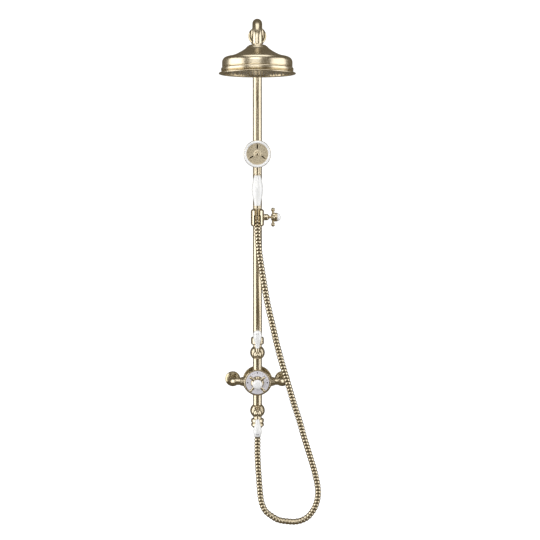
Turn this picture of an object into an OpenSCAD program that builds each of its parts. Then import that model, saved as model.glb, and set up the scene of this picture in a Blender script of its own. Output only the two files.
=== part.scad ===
// Rainfall shower column: a wall-mounted thermostatic valve with two lever valves, a rigid riser with
// an overhead rose on a swan arm, and a hand shower with its hose on a sliding holder.
// Origin: on the wall, halfway between the two water inlets. +Z is up and the front faces -Y.

/* [Layout] */
// Distance between the hot and the cold inlet
inlet_spacing = 150; // [130:1:180]
// Distance from the wall to the axis of the valve and the riser
stand_off = 60; // [55:1:80]
// Height of each lever valve above or below the thermostat
valve_rise = 87; // [82:1:105]
// Height of the overhead arm above the thermostat
arm_height = 1031; // [850:1:1250]
// Forward reach of the rose from the riser
arm_reach = 340; // [260:5:450]
// Slope of the arm down towards the rose, in degrees
arm_slope = 1.8; // [0:0.1:4]
// Height of the hand shower's holder above the thermostat
holder_height = 490; // [420:1:560]
// Forward distance from the riser axis to the hand shower
holder_reach = 50; // [46:1:64]

/* [Tubes] */
// Outer diameter of the riser and the arm
riser_d = 27; // [22:0.5:30]
// Wall of the riser and the arm
riser_wall = 1.5; // [1:0.1:2.5]
// Outer diameter of the inlet elbows
inlet_d = 21; // [19:0.5:24]
// Inner diameter of the inlet elbows
inlet_bore = 15; // [12:0.5:15.5]
// Bend radius of the inlet elbows
inlet_bend = 14; // [12.5:0.5:18]
// Outer diameter of the male thread on the inlet tails
tail_d = 20.95; // [20:0.05:21]
// Length of the inlet tails behind the wall line
tail_len = 14; // [10:1:20]
// Bend radius of the arm above the rose
arm_bend = 45; // [35:1:60]

/* [Thermostat] */
// Diameter of the valve drum
drum_d = 66; // [62:1:72]
// Diameter of the rear cover
rear_cover_d = 89.4; // [84:0.2:96]
// Diameter of the front bezel
bezel_d = 78; // [76:0.5:84]
// Diameter of the enamelled dial
dial_d = 69; // [64:0.5:70]
// Diameter of the thermostat cartridge
cartridge_d = 34; // [30:0.5:36]
// Span of the thermostat cross, tip to tip
wheel_span = 63.4; // [56:0.2:72]
// Diameter of the porcelain button on the thermostat wheel
button_d = 29.2; // [24:0.2:32]

/* [Lever valves] */
// Diameter of the ball-shaped valve bodies
ball_d = 44; // [40:0.5:50]
// Diameter of the round boss on the front of a valve body
boss_d = 26.8; // [25:0.2:30]
// Length of a lever from its axis to its tip
lever_len = 71.5; // [60:0.5:85]
// Largest diameter of a porcelain lever
lever_d = 25.6; // [20:0.2:30]
// Diameter of a lever spindle
spindle_d = 7; // [6:0.1:8]

/* [Rose] */
// Diameter of the rose at its rim
rose_d = 208; // [180:2:250]
// Diameter of the ball that the rose swivels on
swivel_d = 26; // [25:0.5:28]
// Sheet thickness of the rose
rose_wall = 1.8; // [1.2:0.1:2.5]

/* [Hand shower] */
// Diameter of the hand shower's head
head_d = 80; // [70:1:95]
// Largest diameter of the porcelain handle
handle_d = 34; // [28:0.5:38]
// Length of the porcelain handle
handle_len = 89; // [80:1:110]
// Downward tilt of the hand shower's face, in degrees
head_tilt = 10; // [0:1:18]
// Diameter of the conical ferrule that hangs in the holder
ferrule_d = 16.5; // [15:0.1:18]
// Diameter of the handset's neck
neck_d = 16; // [14:0.5:18]
// Diameter of the hose
hose_d = 19; // [14:0.5:20]

/* [Holder] */
// Width of the holder and of the slider's barrel
holder_d = 39; // [37:0.5:44]
// Height of the holder and of the slider's barrel
holder_h = 50; // [44:1:60]
// Wall of the nylon bush between slider and riser
bush_wall = 1.5; // [1:0.1:2]
// Span of the clamp knob's cross from ball centre to ball centre
knob_span = 44; // [38:1:52]

/* [Fits] */
// Radial clearance of a running fit
run_gap = 0.06; // [0.02:0.01:0.1]
// Radial clearance of a fixed joint
fixed_gap = 0.05; // [0.02:0.01:0.1]
// Gap between pieces that move past each other
move_gap = 0.4; // [0.3:0.05:0.8]

/* [Hidden] */
$fn = 96;

brass = [0.76, 0.66, 0.47];
porcelain = [0.95, 0.95, 0.94];
rubber = [0.15, 0.15, 0.16];
nylon = [0.85, 0.84, 0.8];

riser_r = riser_d / 2;
inlet_r = inlet_d / 2;
inlet_x = inlet_spacing / 2;
drum_r = drum_d / 2;
ball_r = ball_d / 2;
boss_r = boss_d / 2;
spindle_r = spindle_d / 2;
hose_r = hose_d / 2;
ferrule_r = ferrule_d / 2;
holder_r = holder_d / 2;
rose_r = rose_d / 2;
head_r = head_d / 2;
swivel_r = swivel_d / 2;
cartridge_r = cartridge_d / 2;
past = 1; // how far a cutter runs past the face it cuts

// ---- Helpers ----

// Points of an arc round (cx, cy), from angle a0 to a1
function arc(cx, cy, r, a0, a1, n = 8) =
    [for (i = [0:n]) let (a = a0 + (a1 - a0) * i / n) [cx + r * cos(a), cy + r * sin(a)]];

// One point of the smooth curve between p1 and p2, where p0 and p3 are their neighbours
function between(p0, p1, p2, p3, t) =
    0.5 * (2 * p1 + (p2 - p0) * t + (2 * p0 - 5 * p1 + 4 * p2 - p3) * t * t
        + (3 * p1 - p0 - 3 * p2 + p3) * t * t * t);

// A smooth curve through all points of p, with n steps from each to the next
function smooth(p, n = 4) = [
    for (i = [0:len(p) - 2], k = [0:n - 1])
        between(p[max(i - 1, 0)], p[i], p[i + 1], p[min(i + 2, len(p) - 1)], k / n),
    p[len(p) - 1]
];

// Faces the wall's opposite side: local +Z points to -Y and starts d in front of the riser plane
module facing(d = 0, z = 0) {
    translate([0, -stand_off - d, z]) rotate([90, 0, 0]) children();
}

// The riser's vertical axis, from height z
module on_riser(z = 0) {
    translate([0, -stand_off, z]) children();
}

// The hand shower's vertical axis, from height z
module on_holder(z = 0) {
    translate([0, -stand_off - holder_reach, z]) children();
}

// A revolved solid from half an outline of [radius, height] points
module turned(points) {
    rotate_extrude() polygon(points);
}

module pipe(r_out, r_in, h) {
    difference() {
        cylinder(h = h, r = r_out);
        translate([0, 0, -past]) cylinder(h = h + 2 * past, r = r_in);
    }
}

// ---- Inlets ----

seat_x = 42; // where an inlet elbow starts inside the valve body
socket_x = 52; // outer end of the valve body's inlet sockets
stop_r = inlet_r + 2;
stop_len = 6;

// The solid of an inlet elbow: along X, round a quarter bend, then along Y to the wall
module inlet_run(r, x0, y1) {
    translate([x0, -stand_off, 0]) rotate([0, 90, 0]) cylinder(h = inlet_x - inlet_bend - x0, r = r);
    translate([inlet_x - inlet_bend, -stand_off + inlet_bend, 0]) rotate([0, 0, -90])
        rotate_extrude(angle = 90) translate([inlet_bend, 0]) circle(r = r);
    translate([inlet_x, -stand_off + inlet_bend, 0]) rotate([-90, 0, 0])
        cylinder(h = y1 + stand_off - inlet_bend, r = r);
}

module inlet_elbow() {
    color(brass) difference() {
        union() {
            inlet_run(inlet_r, seat_x, -stop_len);
            translate([inlet_x, -stop_len, 0]) rotate([-90, 0, 0]) cylinder(h = stop_len, r = stop_r);
            translate([inlet_x, 0, 0]) rotate([-90, 0, 0]) cylinder(h = tail_len, d = tail_d);
        }
        inlet_run(inlet_bore / 2, seat_x - past, tail_len + past);
    }
}

module inlet_elbow_right() inlet_elbow();
module inlet_elbow_left() mirror([1, 0, 0]) inlet_elbow();

flange_r = 22.8;
flange_hub_r = 14.8;
flange_len = 13;
flange_edge = 2.5;

module wall_flange() {
    hole_r = inlet_r + 4 * fixed_gap;
    recess_r = stop_r + move_gap;
    color(brass) translate([inlet_x, 0, 0]) rotate([90, 0, 0]) turned(concat(
        [[recess_r, 0], [flange_r, 0], [flange_r, flange_edge]],
        smooth([
            [flange_r - 1, flange_edge + 1.2], [flange_hub_r + 2.4, 6.5], [flange_hub_r, flange_len - 3]
        ], 5),
        [[flange_hub_r, flange_len - 1], [flange_hub_r - 1, flange_len], [hole_r, flange_len]],
        [[hole_r, stop_len + move_gap], [recess_r, stop_len + move_gap]]
    ));
}

module wall_flange_right() wall_flange();
module wall_flange_left() mirror([1, 0, 0]) wall_flange();

valve_cage_r = inlet_bore / 2 - fixed_gap;
valve_cage_len = 14;

module check_valve() {
    stem_r = 1.6;
    color(nylon) translate([inlet_x, -stand_off + inlet_bend + 6, 0]) rotate([-90, 0, 0]) {
        pipe(valve_cage_r, valve_cage_r - 2.2, valve_cage_len);
        cylinder(h = valve_cage_len, r = stem_r);
        for (turn = [0, 120, 240])
            rotate([0, 0, turn]) translate([0, -0.8, 2]) cube([valve_cage_r - 1, 1.6, 8]);
        translate([0, 0, valve_cage_len - 2]) cylinder(h = 2, r = valve_cage_r - 3);
    }
}

module check_valves() {
    check_valve();
    mirror([1, 0, 0]) check_valve();
}

// ---- Thermostat ----

drum_back = -16;
drum_front = 20;
bezel_front = 27.5;
dial_front = 27;
spigot_flat_r = 9.6; // radius of a valve's ball where its spigot starts
neck_end = valve_rise - sqrt(ball_r * ball_r - spigot_flat_r * spigot_flat_r);
outlet_r = riser_r;
spigot_r = 10;
waterway_r = 8;
spigot_len = 10;
socket_r = inlet_r + 1.1;
shoulder_r = 15.5;
shoulder_x = 38;
seal_t = 1.5;

module valve_body() {
    cavity_r = cartridge_r + fixed_gap;
    color(brass) difference() {
        union() {
            facing(drum_back) cylinder(h = drum_front - drum_back, r = drum_r);
            for (side = [-1, 1]) {
                on_riser() rotate([0, side * 90, 0]) cylinder(h = shoulder_x, r = shoulder_r);
                on_riser() rotate([0, side * 90, 0]) translate([0, 0, shoulder_x])
                    cylinder(h = socket_x - shoulder_x, r1 = shoulder_r, r2 = socket_r);
            }
            on_riser(-neck_end) cylinder(h = 2 * neck_end, r = outlet_r);
        }
        facing(drum_back + 8) cylinder(h = drum_front - drum_back, r = cavity_r);
        for (side = [-1, 1]) {
            on_riser() rotate([0, side * 90, 0]) cylinder(h = socket_x, r = inlet_bore / 2);
            on_riser() rotate([0, side * 90, 0]) translate([0, 0, seat_x - seal_t - 2 * fixed_gap])
                cylinder(h = socket_x - seat_x + seal_t + past, r = inlet_r + fixed_gap);
        }
        on_riser(-neck_end - past) cylinder(h = 2 * (neck_end + past), r = waterway_r);
        for (side = [0, 1])
            mirror([0, 0, side]) on_riser(neck_end - spigot_len)
                cylinder(h = spigot_len + past, r = spigot_r + fixed_gap);
    }
}

module rear_cover() {
    r = rear_cover_d / 2;
    edge = 3;
    thick = 9;
    color(brass) facing(drum_back - thick) turned(concat(
        [[0, 0], [r - edge, 0]],
        arc(r - edge, edge, edge, -90, 0, 5),
        arc(r - 1.5, thick - 1.5, 1.5, 0, 90, 4),
        [[0, thick]]
    ));
}

bezel_hole_r = 18;
bezel_plate = 4;
bezel_skirt = drum_front - shoulder_r - move_gap;
bezel_lip = bezel_d / 2 - (dial_d / 2 + fixed_gap);

module bezel_ring() {
    r = bezel_d / 2;
    recess_r = dial_d / 2 + fixed_gap;
    h = bezel_front - drum_front + bezel_skirt;
    plate_z = bezel_skirt;
    color(brass) facing(drum_front - bezel_skirt) turned(concat(
        [[drum_r + fixed_gap, 0], [r - 1.5, 0], [r, 1.5], [r, h - bezel_lip / 2]],
        arc(r - bezel_lip / 2, h - bezel_lip / 2, bezel_lip / 2, 0, 180, 10),
        [[recess_r, plate_z + bezel_plate], [bezel_hole_r, plate_z + bezel_plate]],
        [[bezel_hole_r, plate_z], [drum_r + fixed_gap, plate_z]]
    ));
}

module dial_ring() {
    z0 = drum_front + bezel_plate;
    color(porcelain) facing(z0) turned([
        [bezel_hole_r + 1, 0], [dial_d / 2, 0], [dial_d / 2, dial_front - z0 - 0.6],
        [dial_d / 2 - 0.6, dial_front - z0], [bezel_hole_r + 1.6, dial_front - z0],
        [bezel_hole_r + 1, dial_front - z0 - 0.6]
    ]);
}

cartridge_back = drum_back + 9;
cartridge_nose_r = 11;
wheel_spindle_r = 5;
wheel_spindle_back = cartridge_back + 17.5;

module thermostat_cartridge() {
    color(nylon) difference() {
        union() {
            facing(cartridge_back) cylinder(h = drum_front - cartridge_back - fixed_gap, r = cartridge_r);
            facing(drum_front - past) cylinder(h = bezel_plate + past + 2, r = cartridge_nose_r);
        }
        on_riser(-drum_r) cylinder(h = 2 * drum_r, r = waterway_r - 2);
        facing(wheel_spindle_back - 0.5) cylinder(h = 40, r = wheel_spindle_r + run_gap);
    }
}

bell_back = dial_front + 1;
bell_r = 18;
bell_h = 26;
wheel_hub_r = 13.5;
wheel_hub_back = bell_back + bell_h;
wheel_hub_h = 12;
wheel_front = wheel_hub_back + wheel_hub_h;

module wheel_spindle() {
    color(brass) facing(wheel_spindle_back)
        cylinder(h = wheel_hub_back + 4 - wheel_spindle_back, r = wheel_spindle_r);
}

module wheel_bell() {
    color(brass) facing(bell_back) turned(concat(
        [[wheel_spindle_r + fixed_gap, 0], [bell_r - 0.8, 0], [bell_r, 0.8], [bell_r, 2.2]],
        smooth([[bell_r - 1, 3.2], [12.4, 7.5], [10.2, 12.5], [10, bell_h - 1.5]], 4),
        [[10, bell_h], [wheel_spindle_r + fixed_gap, bell_h]]
    ));
}

wheel_arm_r = 3.3;
wheel_tip_r = 4.6;

module wheel_cross() {
    reach = wheel_span / 2 - wheel_tip_r;
    mid = wheel_hub_h / 2;
    color(brass) difference() {
        union() {
            facing(wheel_hub_back) turned(concat(
                [[0, 0], [wheel_hub_r - 2, 0]],
                arc(wheel_hub_r - 2, 2, 2, -90, 0, 4),
                arc(wheel_hub_r - 2, wheel_hub_h - 2, 2, 0, 90, 4),
                [[0, wheel_hub_h]]
            ));
            for (turn = [45:90:315]) {
                facing(wheel_hub_back + mid) rotate([0, 0, turn]) rotate([0, 90, 0])
                    translate([0, 0, 9]) cylinder(h = reach - 9, r1 = wheel_arm_r + 0.9, r2 = wheel_arm_r);
                facing(wheel_hub_back + mid) rotate([0, 0, turn]) translate([reach, 0, 0])
                    sphere(r = wheel_tip_r);
            }
        }
        facing(wheel_hub_back - past) cylinder(h = 4 + past, r = wheel_spindle_r + fixed_gap);
        facing(wheel_hub_back + 3) cylinder(h = wheel_hub_h, r = 2.6);
        facing(wheel_hub_back + 6) cylinder(h = wheel_hub_h, r = 5.2);
    }
}

module wheel_screw() {
    color("silver") {
        facing(wheel_hub_back + 4) cylinder(h = 3, r = 2.5);
        facing(wheel_hub_back + 6) cylinder(h = 4, r = 4.6);
    }
}

module wheel_button() {
    r = button_d / 2;
    rise = 11;
    color(porcelain) facing(wheel_front) turned(concat(
        [[0, 0], [r - 2.5, 0], [r - 0.8, 0.6], [r, 2.6], [r - 0.4, 4.6]],
        smooth([[r - 1.6, 6.4], [r * 0.62, rise - 0.9], [0, rise]], 6)
    ));
}

// ---- Lever valves ----

boss_front = 44;
lever_plane = 51;
lever_hub_back = boss_front + 1;
lever_hub_h = 12.5;
lever_hub_r = 12.6;
thread_r = 12.5;
thread_top = 31;

// The valve body at height zero; the hose valve is its mirror image
module flow_body() {
    cutaway = spigot_len - 0.3;
    difference() {
        union() {
            on_riser() sphere(r = ball_r);
            on_riser(neck_end - valve_rise) cylinder(h = valve_rise - neck_end, r = outlet_r);
            on_riser(neck_end - valve_rise - cutaway) cylinder(h = cutaway + past, r = spigot_r);
            on_riser() cylinder(h = thread_top, r = thread_r);
            facing() turned([
                [0, 0], [boss_r, 0], [boss_r, boss_front - 5], [boss_r - 1, boss_front - 4],
                [boss_r - 1, boss_front - 1], [boss_r - 2, boss_front], [0, boss_front]
            ]);
        }
        on_riser(-valve_rise) cylinder(h = valve_rise + thread_top + past, r = waterway_r);
        facing(-4) cylinder(h = boss_front + 4 + past, r = disc_r + fixed_gap);
    }
}

disc_r = 10.6;

module flow_cartridge() {
    difference() {
        facing(-3.9) cylinder(h = boss_front + 3.9, r = disc_r);
        facing(10) cylinder(h = boss_front, r = spindle_r + run_gap);
        on_riser(-disc_r - past) cylinder(h = 2 * (disc_r + past), r = 5);
    }
}

module flow_spindle() {
    facing(10.5) cylinder(h = lever_hub_back + lever_hub_h - 2.5 - 10.5, r = spindle_r);
}

stub_r = 3.4;
lever_root = 18;

module lever_hub() {
    difference() {
        union() {
            facing(lever_hub_back) turned(concat(
                [[0, 0], [lever_hub_r, 0], [lever_hub_r, 4.5]],
                smooth([
                    [lever_hub_r - 0.5, 7], [lever_hub_r - 3, 10.6], [lever_hub_r - 5.6, lever_hub_h]
                ], 4),
                [[0, lever_hub_h]]
            ));
            facing(lever_plane) rotate([-90, 0, 0]) cylinder(h = lever_root, r1 = 6, r2 = 5);
            facing(lever_plane) rotate([-90, 0, 0]) cylinder(h = lever_root + 18, r = stub_r);
        }
        facing(lever_hub_back - past) cylinder(h = lever_hub_h - 2.5 + past, r = spindle_r + fixed_gap);
    }
}

module lever_handle() {
    r = lever_d / 2;
    body = lever_len - lever_root;
    wide = body * 0.68;
    facing(lever_plane) rotate([-90, 0, 0]) translate([0, 0, lever_root]) turned(concat(
        [[stub_r + fixed_gap, 0], [4.6, 0]],
        smooth([[5.4, 0.6], [5.9, 3], [7.6, body * 0.25], [r * 0.86, body * 0.48], [r, wide],
            [r * 0.93, body * 0.82], [r * 0.74, body * 0.94], [r * 0.42, body - 0.6], [0, body]], 4),
        [[0, 18.2], [stub_r + fixed_gap, 18.2]]
    ));
}

module lever_cap() {
    cap_r = 7;
    facing(lever_hub_back + lever_hub_h) turned(concat([[0, 0]], arc(0, 0, cap_r, 0, 90, 10)));
}

module at_rose_valve() translate([0, 0, valve_rise]) children();
module at_hand_valve() mirror([0, 0, 1]) at_rose_valve() children();

module rose_valve_body() color(brass) at_rose_valve() flow_body();
module rose_disc_cartridge() color(nylon) at_rose_valve() flow_cartridge();
module rose_valve_spindle() color("silver") at_rose_valve() flow_spindle();
module rose_lever_hub() color(brass) at_rose_valve() lever_hub();
module rose_lever() color(porcelain) at_rose_valve() lever_handle();
module rose_lever_cap() color(brass) at_rose_valve() lever_cap();
module hand_valve_body() color(brass) at_hand_valve() flow_body();
module hand_disc_cartridge() color(nylon) at_hand_valve() flow_cartridge();
module hand_valve_spindle() color("silver") at_hand_valve() flow_spindle();
module hand_lever_hub() color(brass) at_hand_valve() lever_hub();
module hand_lever() color(porcelain) at_hand_valve() lever_handle();
module hand_lever_cap() color(brass) at_hand_valve() lever_cap();

// ---- Riser, arm and wall bracket ----

nut_r = 19.3;
riser_foot = valve_rise + thread_top + seal_t + 0.1;
nut_start = valve_rise + 24;
nut_top = nut_start + 23;

module riser_nut() {
    bore_r = riser_r + fixed_gap;
    edge = 5;
    color(brass) on_riser() turned(concat(
        [[thread_r + fixed_gap, nut_start]],
        arc(nut_r - edge, nut_start + edge, edge, -80, 0, 6),
        arc(nut_r - edge, nut_top - edge, edge, 0, 80, 6),
        [[bore_r, nut_top], [bore_r, riser_foot - 0.05], [thread_r + fixed_gap, riser_foot - 0.05]]
    ));
}

tee_drop = 30;
tee_r = 16.5;
tee_arm_r = 16.2;
tee_mouth = 26;
arm_start = 13;
riser_top = arm_height - 17;

module riser_tube() {
    color(brass) on_riser(riser_foot) pipe(riser_r, riser_r - riser_wall, riser_top - riser_foot);
}

// The arm's own line: local +Z runs from the tee along the arm, local +Y points up
module along_arm(z = 0) {
    on_riser(arm_height) rotate([90 + arm_slope, 0, 0]) translate([0, 0, z]) children();
}

stay_r = 11;
stay_start = 17;
plate_t = 4;

module top_tee() {
    bead = 4;
    water_r = riser_r - riser_wall;
    color(brass) difference() {
        union() {
            on_riser(arm_height - tee_drop) cylinder(h = tee_drop, r = tee_r);
            on_riser(arm_height - tee_drop) cylinder(h = bead, r = tee_r + 1.2);
            facing(-tee_mouth, arm_height) cylinder(h = 2 * tee_mouth, r = tee_arm_r);
            for (d = [-tee_mouth, tee_mouth - bead])
                facing(d, arm_height) cylinder(h = bead, r = tee_arm_r + 1.2);
            on_riser(arm_height) sphere(r = tee_r + 0.9);
        }
        on_riser(arm_height - tee_drop - past)
            cylinder(h = riser_top + tee_drop + past + 0.1 - arm_height, r = riser_r + fixed_gap);
        on_riser(arm_height - tee_drop) cylinder(h = tee_drop + 2, r = water_r);
        along_arm(arm_start - 0.1) cylinder(h = tee_mouth, r = riser_r + fixed_gap);
        along_arm(-6) cylinder(h = tee_mouth, r = water_r - 1.2);
        facing(-tee_mouth - past, arm_height)
            cylinder(h = tee_mouth + past - stay_start + 0.1, r = stay_r + fixed_gap);
    }
}

arm_run = (arm_reach - arm_bend * (1 - sin(arm_slope))) / cos(arm_slope);
arm_bend_end = arm_height - arm_run * sin(arm_slope) - arm_bend * cos(arm_slope);
rose_top = arm_height - 72;
arm_end = rose_top + 3.5;

arm_sleeve = 0.25; // how much thicker the arm's end sleeve is than its tube

// The solid of the arm's tube: along its slope from z0, then round the bend until it points down
module arm_tube(r, z0) {
    along_arm(z0) cylinder(h = arm_run - z0, r = r);
    along_arm(arm_run) translate([0, -arm_bend, 0]) rotate([90, 0, 90])
        rotate_extrude(angle = 90 - arm_slope) translate([arm_bend, 0]) circle(r = r);
}

module swan_arm() {
    color(brass) difference() {
        union() {
            arm_tube(riser_r, arm_start);
            at_rose(arm_end) cylinder(h = arm_bend_end + 0.5 - arm_end, r = riser_r + arm_sleeve);
        }
        arm_tube(riser_r - riser_wall, arm_start - past);
        at_rose(arm_end - past)
            cylinder(h = arm_bend_end + 2 - arm_end, r = riser_r - riser_wall - arm_sleeve);
    }
}

module wall_stay() {
    color(brass) facing(-stand_off + plate_t + 2, arm_height)
        cylinder(h = stand_off - plate_t - 2 - stay_start, r = stay_r);
}

plate_r = 24;
plate_hub_r = 13;
plate_hub_len = 20;
bracket_spacing = 34; // between the two screws
bracket_hole_r = 2.2;

module wall_plate() {
    color("silver") facing(-stand_off, arm_height) difference() {
        union() {
            cylinder(h = plate_t, r = plate_r);
            cylinder(h = plate_hub_len, r = plate_hub_r);
        }
        translate([0, 0, plate_t + 2]) cylinder(h = plate_hub_len, r = stay_r + fixed_gap);
        for (side = [-1, 1])
            translate([0, side * bracket_spacing / 2, -past])
                cylinder(h = plate_t + 2 * past, r = bracket_hole_r);
    }
}

cover_r = 27;
cover_hub_r = 19.5;
cover_len = 26;

module bracket_cover() {
    hole_r = stay_r + 4 * fixed_gap;
    inside_r = plate_r + move_gap;
    color(brass) facing(-stand_off, arm_height) turned(concat(
        [[inside_r, 0], [cover_r, 0], [cover_r, 3]],
        smooth([[cover_r - 0.8, 4.2], [22.6, 7.6], [cover_hub_r, 13]], 5),
        [[cover_hub_r, cover_len - 1.5], [cover_hub_r - 1.5, cover_len], [hole_r, cover_len]],
        [[hole_r, plate_hub_len + 1], [cover_hub_r - 2, plate_hub_len + 1], [cover_hub_r - 2, 12]],
        [[cover_hub_r + 1, 7], [inside_r, plate_t + move_gap]]
    ));
}

// ---- Rose ----

swivel_z = rose_top - 13;
swivel_hole_r = 12;
socket_clear = 0.3;
seal_r = swivel_r + 2;
seat_r = seal_r + socket_clear;
throat_r = 9;

module at_rose(z = 0) {
    translate([0, -stand_off - arm_reach, z]) children();
}

module swivel_ball() {
    plug_r = riser_r - riser_wall - arm_sleeve - fixed_gap;
    color(brass) difference() {
        union() {
            at_rose(swivel_z) sphere(r = swivel_r);
            at_rose(swivel_z) cylinder(h = arm_end - swivel_z, r = throat_r);
            at_rose(arm_end) cylinder(h = 12, r = plug_r);
        }
        at_rose(swivel_z - swivel_r - past) cylinder(h = 60, r = 5.5);
    }
}

module swivel_seal() {
    color(rubber) difference() {
        at_rose(swivel_z) sphere(r = seal_r);
        at_rose(swivel_z) sphere(r = swivel_r + run_gap);
        at_rose(swivel_z - 4) cylinder(h = seal_r + 5, r = seal_r + 1);
        at_rose(swivel_z - seal_r - past) cylinder(h = 5 + past, r = seal_r);
    }
}

nut_flange = 3.5;
hub_r = 18;
hub_wall = 2.5;
hub_floor = rose_top - 34;

module swivel_nut() {
    color(brass) difference() {
        at_rose() turned([
            [0, rose_top - 17], [hub_r, rose_top - 17], [hub_r, rose_top - nut_flange],
            [rose_neck_r, rose_top - nut_flange], [23.2, rose_top - 1.2], [22.4, rose_top], [0, rose_top]
        ]);
        at_rose(swivel_z) sphere(r = seat_r);
        at_rose(swivel_z) cylinder(h = 20, r = swivel_hole_r);
        at_rose(rose_top - 17 - past) cylinder(h = 17 - 13 + past, r = seat_r);
    }
}

rose_neck_r = 27;
rose_side_r = rose_r - 9;
rose_ring_r = rose_r - 6.3;
rose_shoulder = 15;
shoulder_z = rose_top - 46;
groove_z = rose_top - 58;
ring_low_z = rose_top - 69;

// The rose's outer line from the neck to the groove, moved in by w
function rose_line(w) = concat(
    smooth([
        [rose_neck_r - w / 2, rose_top - nut_flange - w / 2], [rose_neck_r + 7, rose_top - 10.2 - w],
        [rose_neck_r + 20, rose_top - 18.5 - w], [rose_neck_r + 35, rose_top - 25.8 - w],
        [rose_side_r - rose_shoulder, shoulder_z + rose_shoulder - w]
    ], 4),
    arc(rose_side_r - rose_shoulder, shoulder_z, rose_shoulder - w, 80, 0, 9)
);

module rose_shell() {
    inner = rose_line(rose_wall);
    color(brass) at_rose() difference() {
        turned(concat(
            [[hub_r + fixed_gap, rose_top - nut_flange]],
            rose_line(0),
            [[rose_side_r, groove_z + 1], [rose_side_r - 1, groove_z], [rose_side_r - 1, groove_z - 1]],
            arc(rose_ring_r - 4, groove_z - 5.5, 4, 65, 0, 4),
            [[rose_ring_r, ring_low_z + 1.2], [rose_ring_r - 1.4, ring_low_z]],
            [[rose_ring_r - 4.5, ring_low_z]],
            [[rose_ring_r - 4.5, groove_z - 1]],
            [for (i = [len(inner) - 1:-1:4]) inner[i]],
            [[hub_r + hub_wall, rose_top - 12], [hub_r + hub_wall, hub_floor], [0, hub_floor]],
            [[0, rose_top - 17.2]],
            [[hub_r + fixed_gap, rose_top - 17.2]]
        ));
        translate([0, 0, swivel_z]) sphere(r = seat_r);
        translate([0, 0, hub_floor - past]) cylinder(h = 20, r = 6.5);
    }
}

rim_low_z = rose_top - 77.5;

module rose_rim() {
    inner_r = rose_ring_r - 5;
    color(brass) at_rose() turned(concat(
        [[inner_r - 3, rim_low_z + 1.6], [inner_r, rim_low_z]],
        [[rose_r - 1.4, rim_low_z]],
        arc(rose_r - 1.8, rim_low_z + 1.8, 1.8, -60, 70, 6),
        smooth([
            [rose_r - 2.6, rim_low_z + 4], [rose_ring_r - 0.6, rim_low_z + 6.4],
            [rose_ring_r - 2, ring_low_z - 0.1]
        ], 4),
        [[inner_r, ring_low_z - 0.1], [inner_r, rim_low_z + 4.2], [inner_r - 3, rim_low_z + 4.2]]
    ));
}

spray_t = 2;
rose_spray_z = rim_low_z + 4.3;

module rose_spray_plate() {
    plate_r = rose_ring_r - 5 - fixed_gap;
    rings = 5;
    pitch = 16;
    color(brass) at_rose(rose_spray_z) difference() {
        cylinder(h = spray_t, r = plate_r);
        for (ring = [1:rings], k = [0:6 * ring - 1])
            rotate([0, 0, k * 60 / ring]) translate([ring * pitch + 2, 0, -past])
                cylinder(h = spray_t + 2 * past, r = 1);
    }
}

// ---- Slider and holder ----

holder_low = holder_height - holder_h / 2;
holder_edge = 6.5;
bush_r = riser_r + bush_wall;
bridge_w = 24;
bridge_h = 32;
bridge_end = holder_reach - holder_r + 4;
knob_axis = holder_height + 1;

// A standing barrel with rounded ends
module rounded_barrel(r, h, edge) {
    turned(concat(
        [[0, 0]],
        arc(r - edge, edge, edge, -90, 0, 8),
        arc(r - edge, h - edge, edge, 0, 90, 8),
        [[0, h]]
    ));
}

// The knob's sideways axis, from x
module along_knob(x = 0) {
    translate([x, -stand_off, knob_axis]) rotate([0, 90, 0]) children();
}

gland_x = holder_r - 4;
gland_spigot_r = 6;
bush_window_r = 4.4;
gland_seat = holder_r - 1.5;

module slider_barrel() {
    color(brass) difference() {
        union() {
            on_riser(holder_low) rounded_barrel(holder_r, holder_h, holder_edge);
            translate([-bridge_w / 2, -stand_off - bridge_end, holder_height - bridge_h / 2])
                cube([bridge_w, bridge_end, bridge_h]);
        }
        on_riser(holder_low - past) cylinder(h = holder_h + 2 * past, r = bush_r + fixed_gap);
        on_holder(holder_low) cylinder(h = holder_h, r = holder_r + fixed_gap);
        along_knob(gland_seat) cylinder(h = 4, r = gland_hex_r + 0.3);
        along_knob() cylinder(h = holder_r + past, r = gland_spigot_r + fixed_gap);
    }
}

module slider_bush() {
    color(nylon) difference() {
        on_riser(holder_low + 0.5) pipe(bush_r, riser_r + run_gap, holder_h - 1);
        along_knob() cylinder(h = holder_r, r = bush_window_r);
    }
}

cup_seat_z = holder_height + 7;
hose_clear = 0.8;
hose_slot = hose_d + 2 * hose_clear;
ferrule_clear = 0.35;
ferrule_slot = ferrule_d + 2 * ferrule_clear;

module holder_cup() {
    front = holder_r + past;
    color(brass) difference() {
        on_holder(holder_low) rounded_barrel(holder_r, holder_h, holder_edge);
        on_holder(holder_low - past) cylinder(h = cup_seat_z - holder_low + past, r = hose_slot / 2);
        on_holder(cup_seat_z - past) cylinder(h = holder_h, r = ferrule_slot / 2);
        on_holder(holder_low - past) translate([-hose_slot / 2, -front, 0])
            cube([hose_slot, front, cup_seat_z - holder_low + past]);
        on_holder(cup_seat_z - past) translate([-ferrule_slot / 2, -front, 0])
            cube([ferrule_slot, front, holder_h]);
    }
}

gland_hex_r = 9.65;
gland_end = holder_r + 16.5;
knob_back = gland_end + 4.5;
knob_spindle_r = 3.25;

module clamp_gland() {
    color(brass) difference() {
        union() {
            along_knob(gland_x) cylinder(h = 5, r = gland_spigot_r);
            along_knob(gland_seat) turned(concat(
                [[0, 0], [gland_hex_r - 1, 0], [gland_hex_r, 1], [gland_hex_r, 11.5]],
                smooth([[gland_hex_r - 1, 13], [6.4, 15.5], [4.6, gland_end - holder_r + 1.5]], 4),
                [[0, gland_end - holder_r + 1.5]]
            ));
        }
        along_knob(gland_x - past) cylinder(h = 40, r = knob_spindle_r + run_gap);
    }
}

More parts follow.
